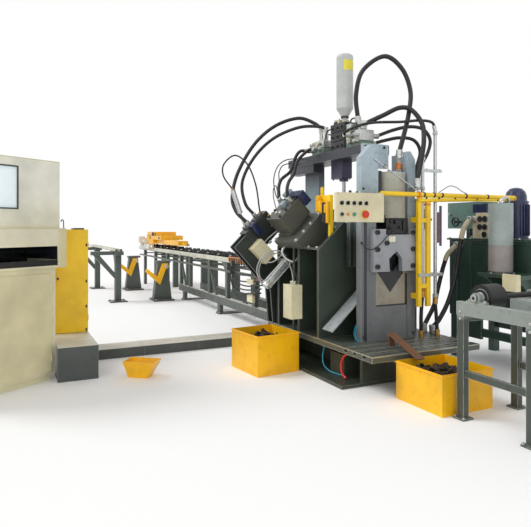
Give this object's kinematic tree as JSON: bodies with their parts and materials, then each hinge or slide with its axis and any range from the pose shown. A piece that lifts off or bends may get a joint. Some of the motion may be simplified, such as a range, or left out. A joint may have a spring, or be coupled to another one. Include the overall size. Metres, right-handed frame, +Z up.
{
  "type": "cnc profile punching machine",
  "caption": "Floor-standing line that feeds steel angle profiles over rollers through a marking head, slanted hydraulic punches and a shear, with a control console and a power pack",
  "frame": {"origin": "centre of the press base's four anchor holes, at floor level", "axes": "+X is the feed direction, from the infeed to the outfeed; +Y points away from the operator; +Z is up"},
  "size_m": [11.9, 5.7741, 3.09],
  "materials": {
    "base_green": "worn satin paint, deck edges rubbed bright",
    "housing_green": "satin paint worn light along the edges",
    "unit_grey": "satin paint, oily",
    "bright_steel": "ground and oiled",
    "die_steel": "dark machined steel",
    "navy_paint": "gloss paint",
    "yellow_paint": "gloss paint",
    "shear_grey": "satin paint",
    "tan_metal": "satin paint",
    "black_steel": "black oxide",
    "blade_steel": "hardened and oiled",
    "plate_grey": "light satin paint",
    "beam_grey": "satin paint",
    "column_blue": "satin paint",
    "silver_paint": "light satin paint",
    "hose_black": "matt hose cover",
    "cream_paint": "satin paint",
    "aluminium_tube": "satin anodised",
    "red_plastic": "moulded",
    "green_plastic": "moulded",
    "black_plastic": "moulded",
    "infeed_grey": "satin paint, dusty",
    "roller_black": "worn matt",
    "motor_white": "satin paint",
    "bench_grey": "satin paint with worn light edges",
    "tank_green": "gloss paint",
    "vessel_grey": "satin paint",
    "console_white": "light satin powder coat",
    "bin_yellow": "gloss paint, scratched"
  },
  "bodies": {
    "machine": {"base_frame": "base_green", "deck_plate": "base_green", "punch_housing": "housing_green", "punch_body_near": "unit_grey", "punch_body_far": "unit_grey", "punch_dies": "die_steel", "hold_down_cylinder": "navy_paint", "valve_bracket": "yellow_paint", "marking_unit": "housing_green", "shear_frame": "shear_grey", "shear_cylinder": "tan_metal", "shear_lower_block": "tan_metal", "lower_blade": "blade_steel", "slug_chute": "plate_grey", "top_beam": "beam_grey", "rear_column": "column_blue", "valve_manifold": "black_steel", "accumulator": "silver_paint", "press_hoses": "hose_black", "press_pipes": "bright_steel", "junction_boxes": "cream_paint", "air_cylinders": "aluminium_tube", "pendant_box": "cream_paint", "support_boom": "yellow_paint", "infeed_frame": "infeed_grey", "infeed_rollers": "roller_black", "loading_stands": "infeed_grey", "outfeed_frame": "bench_grey", "oil_tank": "tank_green", "pump_motor": "navy_paint", "pressure_vessel": "vessel_grey", "console_cabinet": "console_white", "side_cabinet": "yellow_paint", "cable_trough": "bench_grey", "scrap_bins": "bin_yellow"},
    "near_punch": {"punch_ram_near": "bright_steel"},
    "far_punch": {"punch_ram_far": "bright_steel"},
    "marking_head": {"marking_ram": "bright_steel"},
    "hold_down": {"hold_down_rod": "bright_steel"},
    "shear_head": {"shear_ram": "black_steel", "blade_plate": "plate_grey", "blade_bolts": "black_steel"},
    "estop": {"estop_button": "red_plastic"},
    "start": {"start_button": "green_plastic"},
    "stop": {"stop_button": "black_plastic"},
    "switch_1": {"selector_1": "black_plastic"},
    "switch_2": {"selector_2": "black_plastic"},
    "switch_3": {"selector_3": "black_plastic"},
    "switch_4": {"selector_4": "black_plastic"},
    "switch_5": {"selector_5": "black_plastic"},
    "carriage": {"feed_carriage": "yellow_paint", "feed_motor": "motor_white"},
    "jaw": {"gripper_jaw": "bright_steel"},
    "near_arm": {"v_arm_near": "yellow_paint"},
    "far_arm": {"v_arm_far": "yellow_paint"},
    "roller": {"outfeed_roller": "roller_black"},
    "wheel": {"handwheel": "black_steel"},
    "door": {"console_door": "console_white"},
    "drawer": {"keyboard_drawer": "black_plastic"},
    "cabinet_door": {"side_cabinet_door": "yellow_paint"}
  },
  "joints": [
    {"name": "near_punch_stroke", "type": "slide", "parent": "machine", "child": "near_punch", "axis": [0, 0.7071, -0.7071], "range_m": [0, 0.045]},
    {"name": "far_punch_stroke", "type": "slide", "parent": "machine", "child": "far_punch", "axis": [0, -0.7071, -0.7071], "range_m": [0, 0.045]},
    {"name": "marking_stroke", "type": "slide", "parent": "machine", "child": "marking_head", "axis": [0, 0.7071, -0.7071], "range_m": [0, 0.018]},
    {"name": "hold_down_stroke", "type": "slide", "parent": "machine", "child": "hold_down", "axis": [0, 0, -1], "range_m": [0, 0.14]},
    {"name": "shear_stroke", "type": "slide", "parent": "machine", "child": "shear_head", "axis": [0, 0, -1], "range_m": [0, 0.11]},
    {"name": "estop_press", "type": "slide", "parent": "machine", "child": "estop", "axis": [-1, 0, 0], "range_m": [0, 0.005], "stiffness_N_per_m": 400},
    {"name": "start_press", "type": "slide", "parent": "machine", "child": "start", "axis": [-1, 0, 0], "range_m": [0, 0.005], "stiffness_N_per_m": 400},
    {"name": "stop_press", "type": "slide", "parent": "machine", "child": "stop", "axis": [-1, 0, 0], "range_m": [0, 0.005], "stiffness_N_per_m": 400},
    {"name": "selector_1_turn", "type": "hinge", "parent": "machine", "child": "switch_1", "pos_m": [0.75, -0.599, 1.56], "axis": [1, 0, 0], "range_deg": [-45, 45]},
    {"name": "selector_2_turn", "type": "hinge", "parent": "machine", "child": "switch_2", "pos_m": [0.75, -0.537, 1.56], "axis": [1, 0, 0], "range_deg": [-45, 45]},
    {"name": "selector_3_turn", "type": "hinge", "parent": "machine", "child": "switch_3", "pos_m": [0.75, -0.475, 1.56], "axis": [1, 0, 0], "range_deg": [-45, 45]},
    {"name": "selector_4_turn", "type": "hinge", "parent": "machine", "child": "switch_4", "pos_m": [0.75, -0.413, 1.56], "axis": [1, 0, 0], "range_deg": [-45, 45]},
    {"name": "selector_5_turn", "type": "hinge", "parent": "machine", "child": "switch_5", "pos_m": [0.75, -0.351, 1.56], "axis": [1, 0, 0], "range_deg": [-45, 45]},
    {"name": "carriage_travel", "type": "slide", "parent": "machine", "child": "carriage", "axis": [1, 0, 0], "range_m": [-0.3, 3.6]},
    {"name": "jaw_close", "type": "slide", "parent": "carriage", "child": "jaw", "axis": [0, -1, 0], "range_m": [0, 0.012]},
    {"name": "near_arm_lift", "type": "hinge", "parent": "machine", "child": "near_arm", "pos_m": [-5.319, -0.44, 0.64], "axis": [-1, 0, 0], "range_deg": [0, 60]},
    {"name": "far_arm_lift", "type": "hinge", "parent": "machine", "child": "far_arm", "pos_m": [-7.289, -0.56, 0.64], "axis": [-1, 0, 0], "range_deg": [0, 60]},
    {"name": "outfeed_roller_spin", "type": "hinge", "parent": "machine", "child": "roller", "pos_m": [1.82, 0.055, 0.868], "axis": [0, 1, 0], "continuous": true},
    {"name": "handwheel_turn", "type": "hinge", "parent": "machine", "child": "wheel", "pos_m": [0.22, 1.2, 1.415], "axis": [0, 1, 0], "continuous": true},
    {"name": "console_door_swing", "type": "hinge", "parent": "machine", "child": "door", "pos_m": [-0.56652, -2.75923, 0.5], "axis": [0, 0, 1], "range_deg": [0, 70]},
    {"name": "keyboard_slide", "type": "slide", "parent": "machine", "child": "drawer", "axis": [0.8368, 0.5476, 0], "range_m": [0, 0.25]},
    {"name": "cabinet_door_swing", "type": "hinge", "parent": "machine", "child": "cabinet_door", "pos_m": [-1.168, -2.372, 0.8], "axis": [0, 0, 1], "range_deg": [0, 110]}
  ],
  "couplings": [
    {"joint": "far_arm_lift", "follows": "near_arm_lift", "ratio": 1}
  ]
}
